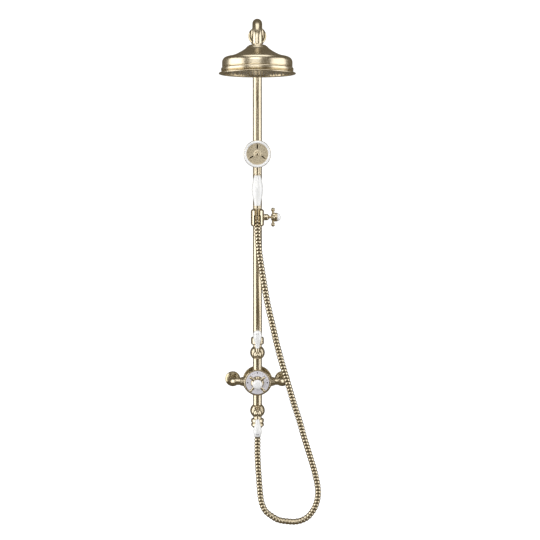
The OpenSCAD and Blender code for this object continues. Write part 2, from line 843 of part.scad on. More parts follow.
knob_hub_len = 18.5;
knob_hub_r = 13.3;
knob_arm_x = 6;
knob_ball_r = 6.2;
knob_arm_r = 3.4;

module knob_spindle() {
    color(brass) along_knob(riser_r + 0.5)
        cylinder(h = knob_back + 6 - riser_r - 0.5, r = knob_spindle_r);
}

module knob_cross() {
    color(brass) difference() {
        union() {
            along_knob(knob_back) turned(concat(
                [[0, 0], [7, 0], [9.5, 1.2], [knob_hub_r - 0.6, 4]],
                [[knob_hub_r, 6], [knob_hub_r, knob_hub_len - 5], [knob_hub_r - 0.8, knob_hub_len - 4.2]],
                [[knob_hub_r - 0.8, knob_hub_len - 3.2], [knob_hub_r, knob_hub_len - 2.4]],
                [[knob_hub_r, knob_hub_len - 0.8], [knob_hub_r - 0.8, knob_hub_len], [0, knob_hub_len]]
            ));
            for (turn = [0:90:270]) {
                along_knob(knob_back + knob_arm_x) rotate([0, 0, turn]) rotate([0, 90, 0])
                    cylinder(h = knob_span / 2, r = knob_arm_r);
                along_knob(knob_back + knob_arm_x) rotate([0, 0, turn]) translate([knob_span / 2, 0, 0])
                    sphere(r = knob_ball_r);
            }
        }
        along_knob(knob_back - past) cylinder(h = 6 + past, r = knob_spindle_r + fixed_gap);
    }
}

module knob_button() {
    r = knob_hub_r - 1;
    rise = 10.5;
    color(porcelain) along_knob(knob_back + knob_hub_len) turned(concat(
        [[0, 0], [r - 0.6, 0], [r, 0.8], [r - 0.2, 2.4]],
        smooth([[r - 1, 4.4], [r * 0.66, rise - 2], [r * 0.3, rise - 0.4], [0, rise]], 5)
    ));
}

// ---- Hand shower ----

ferrule_low = cup_seat_z - 2;
ferrule_top = ferrule_low + 30;
handle_low = ferrule_top;
handle_top = handle_low + handle_len;
core_r = 5.5;
seat_z = holder_low + holder_h + move_gap; // underside of the flange that rests on the cup
seat_flange_r = ferrule_slot / 2 + 1.6;

module handset_ferrule() {
    color(brass) on_holder() difference() {
        turned(concat(
            [[0, ferrule_low], [ferrule_r - 2.2, ferrule_low]],
            smooth([
                [ferrule_r - 1.2, ferrule_low + 0.6], [ferrule_r - 0.4, ferrule_low + 3],
                [ferrule_r, ferrule_low + 8]
            ], 4),
            [[ferrule_r, seat_z], [seat_flange_r - 0.6, seat_z], [seat_flange_r, seat_z + 0.6]],
            [[seat_flange_r, seat_z + 1.4], [seat_flange_r - 0.6, seat_z + 2], [ferrule_r, seat_z + 2.2]],
            [[ferrule_r, ferrule_top], [core_r, ferrule_top]],
            [[core_r, handle_top - 12], [0, handle_top - 12]]
        ));
        translate([0, 0, ferrule_low - past]) cylinder(h = handle_top - ferrule_low, r = 3.8);
    }
}

module handset_handle() {
    r = handle_d / 2;
    l = handle_len;
    color(porcelain) on_holder() difference() {
        turned(concat(
            [[0, handle_low + 0.05], [ferrule_r + 0.6, handle_low + 0.05]],
            smooth([
                [ferrule_r + 1.2, handle_low + 0.8], [ferrule_r + 1.6, handle_low + 0.06 * l],
                [r * 0.68, handle_low + 0.17 * l], [r * 0.87, handle_low + 0.33 * l],
                [r, handle_low + 0.52 * l],
                [r * 0.94, handle_low + 0.66 * l], [r * 0.8, handle_low + 0.82 * l],
                [neck_r + 2.4, handle_top - 4], [neck_r + 1.2, handle_top - 0.7]
            ], 4),
            [[neck_r + 0.4, handle_top - 0.05], [0, handle_top - 0.05]]
        ));
        translate([0, 0, handle_low - past]) cylinder(h = l + 2 * past, r = core_r + fixed_gap);
    }
}

head_depth = 21.5;
neck_bend = 16;
neck_r = neck_d / 2;
neck_bend_z = handle_top + 49;
collar_h = 4;

// The head's own line: local +Z points out of its face, and the face's middle is at local zero
module at_head(z = 0) {
    on_holder(neck_bend_z) translate([0, -neck_bend, 0]) rotate([90 + head_tilt, 0, 0])
        translate([0, neck_bend, head_depth + z]) children();
}

// The neck's solid: up from height z0, then round its bend to the back of the head
module neck_run(r, z0) {
    on_holder(z0) cylinder(h = neck_bend_z - z0, r = r);
    on_holder(neck_bend_z) translate([0, -neck_bend, 0]) rotate([90, 0, 90])
        rotate_extrude(angle = 90 + head_tilt) translate([neck_bend, 0]) circle(r = r);
}

module handset_neck() {
    color(brass) difference() {
        union() {
            neck_run(neck_r, handle_top);
            on_holder(handle_top) turned([
                [0, 0], [neck_r + 1.3, 0], [neck_r + 1.3, collar_h - 1], [neck_r + 0.3, collar_h],
                [0, collar_h]
            ]);
            on_holder(handle_top - 11.8) cylinder(h = 12, r = core_r);
        }
        neck_run(neck_r - 2, handle_top + 2);
        on_holder(handle_top - 12) cylinder(h = 15, r = 3.8);
    }
}

head_back_r = 10;
head_wall = 1.8;
rim_r = head_r - 1.2;
ledge_r = 33.4;
rim_hole_r = 31.5;

// The head's outer line from the neck to its front edge, moved in by w
function head_line(w) = smooth([
    [head_back_r, -head_depth + fixed_gap + w], [head_back_r + 6, -head_depth + 2.2 + w],
    [head_r - 14 - w * 0.5, -head_depth + 6.5 + w], [head_r - 5.5 - w * 0.8, -head_depth + 11.5 + w * 0.5],
    [head_r - 1.2 - w, -head_depth + 17], [head_r - w, -head_depth + 20.5]
], 4);

module handset_shell() {
    inner = head_line(head_wall);
    hub_hole_r = neck_r - 2;
    color(brass) at_head() turned(concat(
        [[hub_hole_r, -head_depth + fixed_gap]],
        head_line(0),
        [[head_r, 0.3], [head_r - 0.5, 0.8], [rim_r + 0.05, 0.8], [rim_r + 0.05, -4], [ledge_r + 0.05, -4]],
        [[ledge_r + 0.05, -6.1], [ledge_r - 2.4, -6.1], [ledge_r - 2.4, -9]],
        [for (i = [10:-1:2]) inner[i]],
        [[hub_hole_r + 3, -head_depth + 4], [hub_hole_r, -head_depth + 4]]
    ));
}

module handset_rim() {
    color(porcelain) at_head() turned(concat(
        [[rim_hole_r, -3.95], [rim_r, -3.95], [rim_r, 0.6]],
        smooth([
            [rim_r - 0.5, 1.4], [(rim_r + rim_hole_r) / 2, 2.3], [rim_hole_r + 0.9, 0.9], [rim_hole_r, -0.6]
        ], 5)
    ));
}

slot_in = 16;
slot_out = 27;
slot_w = 4;
head_hole_r = 0.8;

module handset_spray_plate() {
    color(brass) at_head() difference() {
        turned([
            [0, -4.2], [7, -4.2], [11.5, -6], [ledge_r, -6],
            [ledge_r, -4.05], [11.5, -4.05], [7, -2.2], [0, -2.2]
        ]);
        translate([0, 0, -8]) cylinder(h = 10, r = 2.5);
        for (turn = [90, 210, 330]) rotate([0, 0, turn]) {
            translate([slot_in, -slot_w / 2, -8]) cube([slot_out - slot_in, slot_w, 10]);
            translate([slot_in, 0, -8]) cylinder(h = 10, r = slot_w / 2);
            translate([slot_out, 0, -8]) cylinder(h = 10, r = slot_w / 2);
        }
        for (turn = [90, 210, 330], step = [20:20:100], r = [13, 19, 25])
            if (r > 13 || step % 40 == 20)
                rotate([0, 0, turn + step]) translate([r, 0, -8]) cylinder(h = 10, r = head_hole_r);
    }
}

module handset_cap() {
    r = 5.5;
    color(brass) at_head() turned(concat(
        [[0, -6], [2.45, -6], [2.45, -2.15], [r, -2.15], [r, -1.2]],
        smooth([[r - 0.5, 0], [r * 0.6, 1.3], [0, 1.9]], 4)
    ));
}

// ---- Hose ----

hose_start = 150;
nut_low = nut_start;

module hose_nut() {
    edge = 4;
    groove_r = nut_r - 1.8;
    sleeve_hole = collar_sleeve_r + 2 * fixed_gap;
    color(brass) mirror([0, 0, 1]) on_riser() turned(concat(
        [[thread_r + fixed_gap, nut_low]],
        arc(nut_r - edge, nut_low + edge, edge, -80, 0, 6),
        arc(nut_r - edge, nut_low + 9, edge, 0, 60, 5),
        [[groove_r - 1, nut_low + 13], [groove_r - 1, nut_low + 13.6]],
        arc(nut_r - edge, nut_low + 17.6, edge, -60, 0, 5),
        arc(nut_r - edge, nut_low + 20, edge, 0, 70, 5),
        [[13.4, nut_low + 28], [sleeve_hole, nut_low + 28], [sleeve_hole, riser_foot + 3.6]],
        [[thread_r + fixed_gap, riser_foot + 3.6]]
    ));
}

collar_sleeve_r = 10.4;

module hose_collar_lower() {
    color(brass) mirror([0, 0, 1]) on_riser() turned([
        [5, riser_foot], [thread_r - 0.9, riser_foot], [thread_r - 0.9, riser_foot + 3.4],
        [collar_sleeve_r, riser_foot + 3.4], [collar_sleeve_r, nut_low + 28.4],
        [hose_r + 1.7, nut_low + 28.4],
        [hose_r + 1.7, hose_start - 1], [hose_r + 0.9, hose_start], [5, hose_start]
    ]);
}

module hose_collar_upper() {
    r = ferrule_r - 0.05;
    color(brass) on_holder() turned([
        [0, hose_top], [r - 0.6, hose_top], [r, hose_top + 0.6], [r, ferrule_low - 1], [r - 0.6, ferrule_low],
        [3.75, ferrule_low], [3.75, ferrule_low + 10], [0, ferrule_low + 10]
    ]);
}

hose_top = ferrule_low - 11;

// Points the hose passes through, as [sideways, in front of the riser, height]
hose_points = [
    [0, 0, -hose_start], [0, 2, -182], [0, 5, -221], [2, 9, -260], [5, 13, -301], [8, 17, -337],
    [13, 20, -365], [25, 23, -388], [43, 25, -402], [63, 26, -413], [87, 27, -417], [112, 28, -418],
    [133, 29, -413], [151, 30, -402], [166, 31, -383], [176, 32, -360], [180.5, 33, -333],
    [178.5, 33, -306], [173, 33, -279], [166, 33, -252], [153, 33, -209], [139, 33, -164],
    [125.5, 33, -116], [110, 33, -68], [97, 34, -24], [84, 35, 21], [71, 37, 65], [57, 39, 118],
    [44, 41, 175], [31, 43, 231], [21, 45, 287], [12, 47, 343], [5, holder_reach - 1.5, holder_height - 98],
    [1.5, holder_reach, holder_height - 53], [0, holder_reach, hose_top - 14], [0, holder_reach, hose_top]
];
hose_join = 28; // the point where the lower length ends and the upper one starts
hose_steps = 2;
hose_sides = 10;
hose_line = smooth([for (p = hose_points) [p[0], -stand_off - p[1], p[2]]], hose_steps);

function unit(v) = v / norm(v);

// The hose's direction at ring i: straight down out of the valve and straight up into the hand shower
function hose_way(i) =
    i == 0 ? [0, 0, -1] :
    i == len(hose_line) - 1 ? [0, 0, 1] :
    unit(hose_line[i + 1] - hose_line[i - 1]);

function hose_ring(i, ahead) =
    let (way = hose_way(i), across = unit(cross(way, [0, 1, 0])), over = cross(way, across))
    [for (k = [0:hose_sides - 1]) let (a = 360 * k / hose_sides)
        hose_line[i] + ahead * way + hose_r * (cos(a) * across + sin(a) * over)];

// A solid length of hose from ring a to ring b, with a gap left before its first ring
module hose_length(a, b, gap = 0) {
    n = hose_sides;
    rings = b - a;
    points = [for (i = [a:b]) each hose_ring(i, i == a ? gap : 0)];
    sides = [for (i = [0:rings - 1], k = [0:n - 1])
        [i * n + k, (i + 1) * n + k, (i + 1) * n + (k + 1) % n, i * n + (k + 1) % n]];
    ends = [[for (k = [0:n - 1]) k], [for (k = [n - 1:-1:0]) rings * n + k]];
    color("silver") polyhedron(points, concat(ends, sides));
}

module hose_lower() hose_length(0, hose_join * hose_steps);
module hose_upper() hose_length(hose_join * hose_steps, len(hose_line) - 1, move_gap);

module face_seals() {
    color(rubber) {
        for (side = [-1, 1])
            on_riser() rotate([0, side * 90, 0]) translate([0, 0, seat_x - seal_t - fixed_gap])
                pipe(inlet_r - 0.1, inlet_bore / 2 + 0.2, seal_t);
        for (side = [0, 1])
            mirror([0, 0, side]) on_riser(valve_rise + thread_top + fixed_gap)
                pipe(thread_r - 0.1, waterway_r, seal_t);
    }
}

// ---- Nodes ----

inlet_elbow_left();
inlet_elbow_right();
wall_flange_left();
wall_flange_right();
check_valves();
face_seals();
valve_body();
rear_cover();
bezel_ring();
dial_ring();
thermostat_cartridge();
wheel_spindle();
wheel_bell();
wheel_cross();
wheel_screw();
wheel_button();
rose_valve_body();
rose_disc_cartridge();
rose_valve_spindle();
rose_lever_hub();
rose_lever();
rose_lever_cap();
hand_valve_body();
hand_disc_cartridge();
hand_valve_spindle();
hand_lever_hub();
hand_lever();
hand_lever_cap();
riser_nut();
riser_tube();
top_tee();
swan_arm();
swivel_ball();
wall_stay();
wall_plate();
bracket_cover();
swivel_seal();
swivel_nut();
rose_shell();
rose_rim();
rose_spray_plate();
slider_barrel();
slider_bush();
holder_cup();
clamp_gland();
knob_spindle();
knob_cross();
knob_button();
handset_ferrule();
handset_handle();
handset_neck();
handset_shell();
handset_rim();
handset_spray_plate();
handset_cap();
hose_nut();
hose_collar_lower();
hose_lower();
hose_upper();
hose_collar_upper();
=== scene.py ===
# %% [markdown]
# # A rainfall shower column in brushed brass
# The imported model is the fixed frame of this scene. It brings every turned, bored and
# jointed part of the shower, in metres, with X to the right, Y into the wall and Z up.
# Here the hose gets its ridges, the parts get their finishes, and small details that
# nobody would machine as separate solids are added.

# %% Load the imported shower
import math

import bpy
import bmesh
from mathutils import Matrix, Vector


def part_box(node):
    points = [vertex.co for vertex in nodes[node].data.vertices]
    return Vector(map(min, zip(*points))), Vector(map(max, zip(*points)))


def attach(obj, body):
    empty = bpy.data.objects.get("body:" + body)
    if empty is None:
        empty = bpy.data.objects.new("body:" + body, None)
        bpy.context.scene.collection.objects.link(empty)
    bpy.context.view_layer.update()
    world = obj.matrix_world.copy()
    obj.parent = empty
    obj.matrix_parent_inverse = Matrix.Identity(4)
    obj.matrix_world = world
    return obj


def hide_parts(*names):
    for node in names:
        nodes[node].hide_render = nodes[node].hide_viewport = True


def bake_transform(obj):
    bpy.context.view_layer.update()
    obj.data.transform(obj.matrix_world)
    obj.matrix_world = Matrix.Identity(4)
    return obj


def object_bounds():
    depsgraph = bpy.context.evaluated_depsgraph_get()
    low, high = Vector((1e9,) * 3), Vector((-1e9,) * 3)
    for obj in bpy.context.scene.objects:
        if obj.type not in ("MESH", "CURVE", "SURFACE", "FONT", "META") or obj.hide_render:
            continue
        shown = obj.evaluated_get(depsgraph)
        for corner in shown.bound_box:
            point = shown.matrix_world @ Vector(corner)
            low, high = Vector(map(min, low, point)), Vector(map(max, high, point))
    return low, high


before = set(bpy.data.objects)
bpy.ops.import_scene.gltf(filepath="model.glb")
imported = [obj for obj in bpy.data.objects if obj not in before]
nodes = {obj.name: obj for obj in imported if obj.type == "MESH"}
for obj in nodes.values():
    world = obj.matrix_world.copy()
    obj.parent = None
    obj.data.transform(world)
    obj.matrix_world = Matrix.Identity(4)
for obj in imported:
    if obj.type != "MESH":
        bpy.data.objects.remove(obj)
cad_low, cad_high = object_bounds()
print("CAD box", [round(v, 3) for v in cad_low], [round(v, 3) for v in cad_high])

# %% [markdown]
# ## The camera
# A shower this tall is looked at from a few metres away through a long lens, which keeps
# its upright parts upright. The camera is placed first, because the hose is checked
# against what it sees.

# %% Place the camera
CAMERA_PLACE = (0.0, -3.96, 0.5566)
CAMERA_DOWN = 3.27  # degrees below the horizontal
CAMERA_RIGHT = 0.55  # degrees to the right
CAMERA_LENS = 87.5  # millimetres
SENSOR_WIDTH = 36.0  # millimetres
camera_data = bpy.data.cameras.new("studio_camera")
camera_data.lens = CAMERA_LENS
camera_data.sensor_width = SENSOR_WIDTH
camera = bpy.data.objects.new("studio_camera", camera_data)
bpy.context.scene.collection.objects.link(camera)
camera.location = CAMERA_PLACE
camera.rotation_euler = (math.radians(90 - CAMERA_DOWN), 0, math.radians(-CAMERA_RIGHT))
bpy.context.scene.camera = camera
bpy.context.scene.view_settings.view_transform = "Standard"

# %% [markdown]
# ## Helpers for modelling
# Operators act on whatever is selected, so each step starts from nothing selected and
# picks its own object. A finished piece rides on the body that it moves with.

# %% Selection, finishing and riding
def deselect_all():
    for o in bpy.context.selected_objects:
        o.select_set(False)
    bpy.context.view_layer.objects.active = None


def pick(obj):
    deselect_all()
    obj.select_set(True)
    bpy.context.view_layer.objects.active = obj


def apply_place(obj):
    """Puts the object's place, turn and size into its mesh."""
    pick(obj)
    bpy.ops.object.transform_apply(location=True, rotation=True, scale=True)


def apply_modifier(obj, kind, **settings):
    pick(obj)
    modifier = obj.modifiers.new(kind.lower(), kind)
    for key, value in settings.items():
        setattr(modifier, key, value)
    bpy.ops.object.modifier_apply(modifier=modifier.name)


def join(pieces, name):
    """Joins pieces into one object with that name."""
    deselect_all()
    for p in pieces:
        p.select_set(True)
    bpy.context.view_layer.objects.active = pieces[0]
    bpy.ops.object.join()
    joined = bpy.context.view_layer.objects.active
    joined.name = name
    joined.data.name = name
    return joined


def smooth_by_angle(obj, angle=35):
    pick(obj)
    bpy.ops.object.shade_smooth_by_angle(angle=math.radians(angle))


# %% [markdown]
# ## Finishes
# Brushed brass is a metal whose colour, gloss and height all vary in long fine streaks.
# The streaks come from one noise that is stretched along the brushing direction, and a
# second, broad noise makes patches a little warmer or duller, as handled brass has.
# Porcelain is glazed: a white body under a clear, very smooth coat with faint waves.

# %% Node helpers
NOISE_LOW, NOISE_HIGH = 0.3, 0.7  # nearly all of a noise's values lie between these
MIX_COLOUR_A, MIX_COLOUR_B, MIX_COLOUR_RESULT = 6, 7, 2  # sockets of a mix node for colours


def new_material(name):
    material = bpy.data.materials.new(name)
    material.use_nodes = True
    shader = material.node_tree.nodes["Principled BSDF"]
    return material, material.node_tree, shader


def set_inputs(node, values):
    for key, value in values.items():
        node.inputs[key].default_value = value


def add_node(tree, kind, inputs=None, **settings):
    """Adds a node with its settings and the values of its free inputs."""
    node = tree.nodes.new(kind)
    for key, value in settings.items():
        setattr(node, key, value)
    set_inputs(node, inputs or {})
    return node


def object_coordinates(tree, scale=(1, 1, 1)):
    where = add_node(tree, "ShaderNodeTexCoord")
    mapping = add_node(tree, "ShaderNodeMapping", {"Scale": scale})
    tree.links.new(where.outputs["Object"], mapping.inputs["Vector"])
    return mapping.outputs["Vector"]


def noise(tree, vector, scale, detail, roughness):
    node = add_node(
        tree, "ShaderNodeTexNoise", {"Scale": scale, "Detail": detail, "Roughness": roughness}
    )
    tree.links.new(vector, node.inputs["Vector"])
    return node.outputs["Fac"]


def colour_ramp(tree, fac, stops):
    node = add_node(tree, "ShaderNodeValToRGB")
    ramp = node.color_ramp
    while len(ramp.elements) < len(stops):
        ramp.elements.new(0.5)
    for element, (place, colour) in zip(ramp.elements, stops):
        element.position = place
        element.color = (*colour, 1)
    tree.links.new(fac, node.inputs["Fac"])
    return node.outputs["Color"]


def spread(tree, fac, low, high):
    """Spreads a noise's values from low to high."""
    node = add_node(tree, "ShaderNodeMapRange", {
        "From Min": NOISE_LOW, "From Max": NOISE_HIGH, "To Min": low, "To Max": high,
    })
    tree.links.new(fac, node.inputs["Value"])
    return node.outputs["Result"]


def multiply_colours(tree, a, b):
    node = add_node(
        tree, "ShaderNodeMix", {"Factor": 1.0}, data_type="RGBA", blend_type="MULTIPLY"
    )
    tree.links.new(a, node.inputs[MIX_COLOUR_A])
    tree.links.new(b, node.inputs[MIX_COLOUR_B])
    return node.outputs[MIX_COLOUR_RESULT]


def bump(tree, height, shader, distance):
    node = add_node(tree, "ShaderNodeBump", {"Distance": distance, "Strength": 1.0})
    tree.links.new(height, node.inputs["Height"])
    tree.links.new(node.outputs["Normal"], shader.inputs["Normal"])


# %% [markdown]
# The brushing runs along a tube or round a turned part. The scale of each axis says how
# tightly the streaks are packed across it: a small number stretches them along it.

# %% Brushed brass
BRASS_DEEP = (0.60, 0.525, 0.385)
BRASS_MID = (0.74, 0.66, 0.505)
BRASS_PALE = (0.86, 0.785, 0.635)
DULLED = (0.93, 0.91, 0.87)  # the share of each colour that handled patches keep
STREAK_SCALE = 1600
PATCH_SCALE = 14
STREAK_DEPTH = 1.2e-6  # metres
DRAWN_OUT = 0.012  # the noise's scale along a brushed streak
ALONG_X, ALONG_Y, ALONG_Z = (DRAWN_OUT, 1, 1), (1, DRAWN_OUT, 1), (1, 1, DRAWN_OUT)
ROUND_Y, ROUND_Z = (0.25, 1.6, 0.25), (0.25, 0.25, 1.6)
EVEN = (1, 1, 1)
BRUSHED_GLOSS = (0.23, 0.31)  # roughness, from the smoothest streak to the roughest


def brushed_brass(name, streaks, gloss, grain=STREAK_DEPTH, tint=(1.0, 1.0, 1.0)):
    material, tree, shader = new_material(name)
    fine = noise(tree, object_coordinates(tree, streaks), STREAK_SCALE, 3.0, 0.6)
    broad = noise(tree, object_coordinates(tree), PATCH_SCALE, 3.0, 0.55)
    streak_colour = colour_ramp(
        tree, fine, [(0.25, BRASS_DEEP), (0.5, BRASS_MID), (0.8, BRASS_PALE)]
    )
    dull = tuple(c * k for c, k in zip(tint, DULLED))
    patch_colour = colour_ramp(tree, broad, [(NOISE_LOW, dull), (NOISE_HIGH, tint)])
    colour = multiply_colours(tree, streak_colour, patch_colour)
    tree.links.new(colour, shader.inputs["Base Color"])
    tree.links.new(spread(tree, fine, *gloss), shader.inputs["Roughness"])
    bump(tree, fine, shader, grain)
    set_inputs(shader, {"Metallic": 1.0, "Anisotropic": 0.25})
    return material


brass_upright = brushed_brass("brass_brushed_upright", ALONG_Z, BRUSHED_GLOSS)
brass_along_arm = brushed_brass("brass_brushed_along_arm", ALONG_Y, BRUSHED_GLOSS)
brass_across = brushed_brass("brass_brushed_across", ALONG_X, BRUSHED_GLOSS)
brass_turned = brushed_brass("brass_turned", ROUND_Z, (0.22, 0.30))
brass_turned_facing = brushed_brass("brass_turned_facing", ROUND_Y, (0.18, 0.26))
# A darker, browner copy of the facing-turned brass, used on the wall flanges and the covers at the
# back.
brass_tinted_darker = brushed_brass("brass_tinted_darker", ROUND_Y, (0.20, 0.28), tint=(0.80, 0.78, 0.70))
brass_satin = brushed_brass(
    "brass_satin", (0.5, 0.5, 0.5), (0.45, 0.58), grain=2e-6, tint=(1.12, 1.11, 1.08)
)
set_inputs(brass_satin.node_tree.nodes["Principled BSDF"], {"Metallic": 0.6})
brass_hose = brushed_brass("brass_hose", EVEN, (0.12, 0.20), grain=1e-6)
# The groove faces get a far darker tint: this is painted shade in the hose's grooves.
brass_groove_painted_shade = brushed_brass(
    "brass_hose_groove_painted_shade", EVEN, (0.30, 0.40), grain=1e-6, tint=(0.34, 0.30, 0.24)
)

# %% [markdown]
# Porcelain levers and handles are slip-cast and glazed. The glaze pools very slightly, so
# the colour warms by a hair where it is thick, and its surface has soft low waves.

# %% Porcelain, enamel, nylon, rubber and steel
POOL_SCALE = 22
SPECK_SCALE = 420
GLAZE_WAVES = 6e-5  # metres
MOULD_GRAIN_SCALE = 900
MOULD_GRAIN_DEPTH = 2e-5  # metres
MOTTLE_SCALE = 40
STEEL_SCALE = 300
STEEL_DEPTH = 1.5e-5  # metres


def porcelain(name, body, shade):
    material, tree, shader = new_material(name)
    plain = object_coordinates(tree)
    pool = noise(tree, plain, POOL_SCALE, 3.0, 0.5)
    speck = noise(tree, plain, SPECK_SCALE, 2.0, 0.5)
    colour = colour_ramp(tree, pool, [(0.3, shade), (0.65, body)])
    tree.links.new(colour, shader.inputs["Base Color"])
    tree.links.new(spread(tree, speck, 0.05, 0.11), shader.inputs["Roughness"])
    bump(tree, pool, shader, GLAZE_WAVES)
    set_inputs(shader, {
        "Coat Weight": 0.7, "Coat Roughness": 0.03,
        "Subsurface Weight": 0.08, "Subsurface Radius": (0.002, 0.002, 0.0018),
    })
    return material


porcelain_white = porcelain("porcelain_white", (0.95, 0.95, 0.95), (0.90, 0.90, 0.89))
enamel_dial = porcelain("enamel_dial", (0.88, 0.87, 0.93), (0.81, 0.80, 0.87))


def moulded(name, colour, rough):
    """A moulded plastic or rubber with a fine matt grain."""
    material, tree, shader = new_material(name)
    plain = object_coordinates(tree)
    grain = noise(tree, plain, MOULD_GRAIN_SCALE, 2.0, 0.5)
    mottle = noise(tree, plain, MOTTLE_SCALE, 2.0, 0.5)
    low = tuple(c * 0.88 for c in colour)
    mottled = colour_ramp(tree, mottle, [(NOISE_LOW, low), (NOISE_HIGH, colour)])
    tree.links.new(mottled, shader.inputs["Base Color"])
    tree.links.new(spread(tree, grain, rough - 0.06, rough + 0.06), shader.inputs["Roughness"])
    bump(tree, grain, shader, MOULD_GRAIN_DEPTH)
    return material



nylon = moulded("nylon_natural", (0.72, 0.70, 0.64), 0.5)
rubber_seal = moulded("rubber_seal", (0.035, 0.035, 0.037), 0.62)
rubber_nozzle = moulded("rubber_nozzle", (0.26, 0.23, 0.18), 0.55)
mark_dark = moulded("enamel_mark_dark", (0.03, 0.03, 0.035), 0.3)
mark_grey = moulded("enamel_mark_grey", (0.36, 0.36, 0.37), 0.32)


def turned_steel():
    material, tree, shader = new_material("steel_turned")
    streaks = noise(tree, object_coordinates(tree, (0.3, 1.5, 0.3)), STEEL_SCALE, 5.0, 0.7)
    colour = colour_ramp(tree, streaks, [
        (NOISE_LOW, (0.50, 0.51, 0.52)), (NOISE_HIGH, (0.66, 0.67, 0.68)),
    ])
    tree.links.new(colour, shader.inputs["Base Color"])
    tree.links.new(spread(tree, streaks, 0.22, 0.36), shader.inputs["Roughness"])
    bump(tree, streaks, shader, STEEL_DEPTH)
    set_inputs(shader, {"Metallic": 1.0})
    return material


steel = turned_steel()

# %% [markdown]
# ## Each part's finish
# The parts made in CAD keep their shape and only get a finish. Long tubes are brushed
# along their length, and what is turned on a lathe shows its streaks round its axis.

# %% Give the parts their finishes
FINISHES = {
    brass_upright: [
        "riser_tube", "handset_neck", "handset_ferrule", "hose_collar_upper", "hose_collar_lower",
    ],
    brass_along_arm: ["swan_arm", "wall_stay", "inlet_elbow_left", "inlet_elbow_right"],
    brass_across: ["clamp_gland", "knob_spindle", "knob_cross", "valve_body"],
    brass_turned: [
        "riser_nut", "top_tee", "swivel_ball", "swivel_nut", "rose_shell", "rose_rim",
        "rose_spray_plate", "slider_barrel", "holder_cup", "hose_nut",
    ],
    brass_tinted_darker: ["wall_flange_left", "wall_flange_right", "rear_cover", "bracket_cover"],
    brass_satin: ["handset_spray_plate"],
    brass_turned_facing: [
        "bezel_ring", "wheel_spindle", "wheel_bell", "wheel_cross",
        "rose_valve_body", "rose_lever_hub", "rose_lever_cap",
        "hand_valve_body", "hand_lever_hub", "hand_lever_cap", "handset_shell", "handset_cap",
    ],
    porcelain_white: [
        "wheel_button", "rose_lever", "hand_lever", "knob_button", "handset_handle", "handset_rim",
    ],
    enamel_dial: ["dial_ring"],
    steel: ["wheel_screw", "rose_valve_spindle", "hand_valve_spindle", "wall_plate"],
    nylon: [
        "check_valves", "thermostat_cartridge", "rose_disc_cartridge", "hand_disc_cartridge",
        "slider_bush",
    ],
    rubber_seal: ["face_seals", "swivel_seal"],
    brass_hose: ["hose_lower", "hose_upper"],
}
for finish, names in FINISHES.items():
    for name in names:
        mesh = nodes[name].data
        mesh.materials.clear()
        mesh.materials.append(finish)
unfinished = sorted(set(nodes) - {n for names in FINISHES.values() for n in names})
print("parts without a finish:", unfinished)

# %% [markdown]
# ## The hose
# A shower hose like this is a strip of brass wound into a tube whose turns hook into each
# other, so it bends but cannot kink. Outside it is a row of rounded bands with narrow
# grooves between them. It hangs from the lower valve in one long loop and comes up to the
# holder, straight into the bottom of the hand shower.
# The route is a list of places that it passes through, joined by a smooth curve. Bands
# are then made by letting the tube's radius swell and dip along that curve. The hose is
# made as two separate pieces that meet end to end: the lower one between the valve and
# the slider, and the upper one between the slider and the hand shower.

# %% The hose's route
HOSE_DIAMETER = 0.019
BAND_PITCH = 0.010
STAND_OFF = 0.060  # from the wall to the valve's outlet
HOSE_JOIN = 28  # the place on the route, counted from 0, where the two lengths meet
hose_places = [  # millimetres: to the right, further into the room, and up
    (0, 0, -150), (0, 2, -182), (0, 5, -221), (2, 9, -260), (5, 13, -301), (8, 17, -337),
    (13, 20, -365), (25, 23, -388), (43, 25, -402), (63, 26, -413), (87, 27, -417),
    (112, 28, -418), (133, 29, -413), (151, 30, -402), (166, 31, -383), (176, 32, -360),
    (180.5, 33, -333), (178.5, 33, -306), (173, 33, -279), (166, 33, -252), (153, 33, -209),
    (139, 33, -164), (125.5, 33, -116), (110, 33, -68), (97, 34, -24), (84, 35, 21),
    (71, 37, 65), (57, 39, 118), (44, 41, 175), (31, 43, 231), (21, 45, 287), (12, 47, 343),
    (5, 48.5, 392), (1.5, 50, 437), (0, 50, 470), (0, 50, 484),
]
route = [Vector((x / 1000, -STAND_OFF - d / 1000, z / 1000)) for x, d, z in hose_places]


def smooth_curve(points, steps):
    """A smooth curve through all the points, with that many steps between neighbours."""
    line = []
    for i in range(len(points) - 1):
        a, b, c, d = (points[min(max(i + k, 0), len(points) - 1)] for k in (-1, 0, 1, 2))
        for k in range(steps):
            t = k / steps
            line.append(0.5 * (2 * b + (c - a) * t + (2 * a - 5 * b + 4 * c - d) * t * t
                               + (3 * b - a - 3 * c + d) * t ** 3))
    return line + [points[-1].copy()]


CURVE_STEPS = 16
curve = smooth_curve(route, CURVE_STEPS)
join_index = HOSE_JOIN * CURVE_STEPS


def along(line):
    """How far each point is along the line from its start."""
    total, far = 0.0, [0.0]
    for a, b in zip(line, line[1:]):
        total += (b - a).length
        far.append(total)
    return far


curve_far = along(curve)
hose_whole = curve_far[-1]
hose_lower_long = curve_far[join_index]
print("hose", round(hose_whole, 3), "m, lower length", round(hose_lower_long, 3), "m")


def point_at(distance):
    """The point that far along the hose."""
    low, high = 0, len(curve_far) - 1
    while high - low > 1:
        middle = (low + high) // 2
        if curve_far[middle] <= distance:
            low = middle
        else:
            high = middle
    part = (distance - curve_far[low]) / (curve_far[high] - curve_far[low])
    return curve[low].lerp(curve[high], min(max(part, 0), 1))


# %% Bands along the hose
RINGS_PER_BAND = 8
HOSE_SIDES = 28
TANGENT_REACH = 0.002  # how far ahead and behind the hose's direction is read
BAND_RADIUS = HOSE_DIAMETER / 2
CROWN = 0.0005
GROOVE_DEPTH = 0.0016
GROOVE_SHARE = 0.34  # how much of a band's pitch its groove takes
pitches = round(hose_whole / BAND_PITCH)
join_pitch = round(hose_lower_long / hose_whole * pitches)
pitch = hose_whole / pitches


